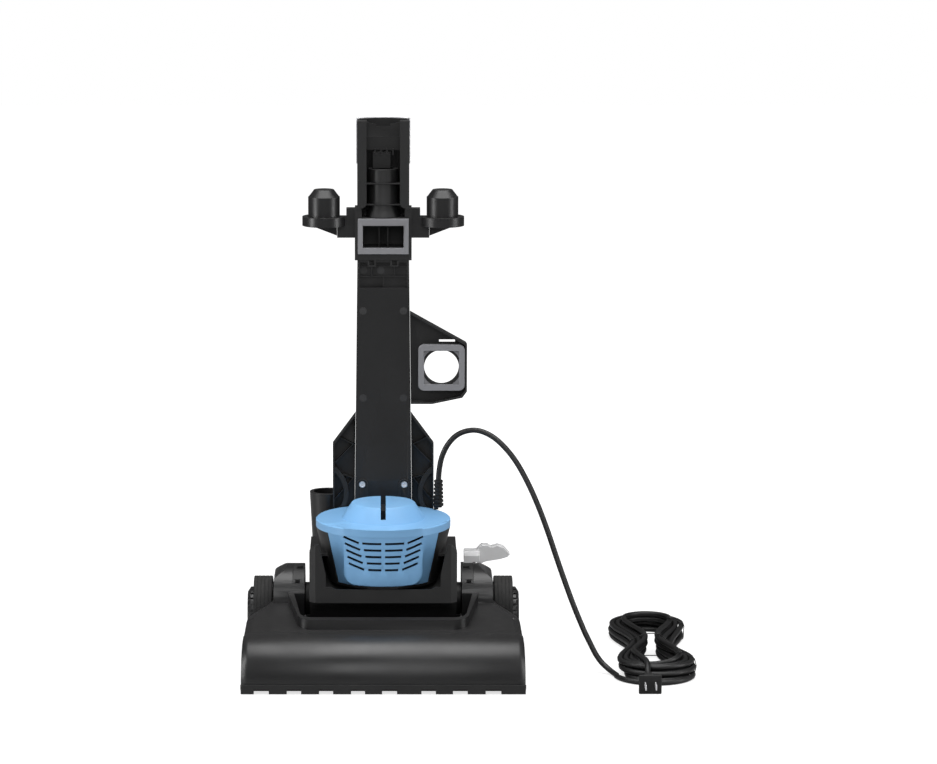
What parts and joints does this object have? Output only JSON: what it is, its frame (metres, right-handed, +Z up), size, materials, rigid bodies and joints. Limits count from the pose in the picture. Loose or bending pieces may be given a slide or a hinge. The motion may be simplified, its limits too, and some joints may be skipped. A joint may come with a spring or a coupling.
{
  "type": "upright vacuum cleaner",
  "caption": "Upright vacuum cleaner body: wide nozzle foot with brush roll, tilting motor unit with vented filter cap, spine with hose port and tool posts, tied cord.",
  "frame": {"origin": "middle of the machine's footprint on the floor, half way from the front comb to the back of the rear wheels", "axes": "+X across the machine, +Y from the front of the foot to the back, +Z up"},
  "size_m": [0.5645, 0.3837, 0.681],
  "materials": {
    "shell_black": "satin black moulding",
    "frame_black": "matte black moulding",
    "blue_plastic": "satin light blue moulding",
    "grey_plastic": "light grey moulding",
    "hose_grey": "soft grey hose",
    "seal_foam": "grainy grey foam rubber",
    "rubber": "matte black rubber",
    "tyre": "matte black tyre",
    "steel": "plain steel",
    "silver": "bright silver trim",
    "copper": "copper",
    "filter": "filter felt",
    "bristle": "nylon bristle",
    "switch_red": "red rocker",
    "cord": "matte black cord sheath"
  },
  "bodies": {
    "foot": {"foot_shell": "shell_black", "base_frame": "frame_black", "sole_plate": "frame_black", "front_comb": "frame_black", "pivot_caps": "frame_black", "suction_duct": "frame_black", "lower_hose": "hose_grey", "drive_belt": "rubber", "brush_bearings": "frame_black", "brush_axle": "steel", "wheel_axles": "steel", "roller_axles": "steel", "pedal_pin": "steel", "pedal_spring": "steel", "sole_screws": "steel", "cord_tube": "cord", "cord_hank": "cord", "cord_ties": "cord", "plug_body": "rubber", "plug_blades": "silver"},
    "upright": {"motor_housing": "frame_black", "trunnion_left": "frame_black", "trunnion_right": "frame_black", "motor_can": "steel", "field_stack": "steel", "carbon_brushes": "frame_black", "fan_shroud": "frame_black", "motor_mounts": "rubber", "exhaust_filter": "filter", "inlet_filter": "filter", "filter_cap": "blue_plastic", "spine_lower": "frame_black", "duct_cover": "shell_black", "spine_upper": "frame_black", "port_gasket": "seal_foam", "rim_trim": "silver", "handle_tube": "frame_black", "tool_posts": "shell_black", "hose_bracket": "frame_black", "port_seal": "seal_foam", "wing_left": "frame_black", "wing_right": "frame_black", "hose_pipe": "shell_black", "spine_screws": "silver", "strain_relief": "rubber"},
    "brush_roll": {"brush_core": "frame_black", "bristles": "bristle"},
    "wheel_left": {"wheel_left": "shell_black", "tyre_left": "tyre"},
    "wheel_right": {"wheel_right": "shell_black", "tyre_right": "tyre"},
    "front_roller_left": {"front_roller_left": "frame_black"},
    "front_roller_right": {"front_roller_right": "frame_black"},
    "release_pedal": {"release_pedal": "grey_plastic"},
    "motor_rotor": {"motor_shaft": "steel", "armature": "steel", "commutator": "copper", "fan": "frame_black"},
    "cap_latch": {"cap_latch": "frame_black"},
    "power_switch": {"power_switch": "switch_red"}
  },
  "joints": [
    {"name": "recline", "type": "hinge", "parent": "foot", "child": "upright", "pos_m": [0, 0.055, 0.076], "axis": [-1, 0, 0], "range_deg": [0, 60], "deforming": ["lower_hose"]},
    {"name": "motor_spin", "type": "hinge", "parent": "upright", "child": "motor_rotor", "pos_m": [0, 0.055, 0.076], "axis": [1, 0, 0], "continuous": true},
    {"name": "brush_spin", "type": "hinge", "parent": "foot", "child": "brush_roll", "pos_m": [0, -0.1, 0.0295], "axis": [1, 0, 0], "continuous": true},
    {"name": "wheel_left_spin", "type": "hinge", "parent": "foot", "child": "wheel_left", "pos_m": [-0.153, 0.0995, 0.0475], "axis": [1, 0, 0], "continuous": true},
    {"name": "wheel_right_spin", "type": "hinge", "parent": "foot", "child": "wheel_right", "pos_m": [0.153, 0.0995, 0.0475], "axis": [1, 0, 0], "continuous": true},
    {"name": "roller_left_spin", "type": "hinge", "parent": "foot", "child": "front_roller_left", "pos_m": [-0.123, -0.05, 0.008], "axis": [1, 0, 0], "continuous": true},
    {"name": "roller_right_spin", "type": "hinge", "parent": "foot", "child": "front_roller_right", "pos_m": [0.123, -0.05, 0.008], "axis": [1, 0, 0], "continuous": true},
    {"name": "pedal_press", "type": "hinge", "parent": "foot", "child": "release_pedal", "pos_m": [0.113, 0.103, 0.106], "axis": [-1, 0, 0], "range_deg": [0, 12], "stiffness_Nm_per_rad": 0.8, "springref_deg": -8.59},
    {"name": "latch_slide", "type": "slide", "parent": "upright", "child": "cap_latch", "axis": [0, -1, 0], "range_m": [0, 0.006], "stiffness_N_per_m": 300, "springref_m": -0.002},
    {"name": "switch_rock", "type": "hinge", "parent": "upright", "child": "power_switch", "pos_m": [0, 0.125, 0.3], "axis": [1, 0, 0], "range_deg": [0, 12]}
  ],
  "couplings": [
    {"joint": "brush_spin", "follows": "motor_spin", "ratio": 0.4}
  ]
}
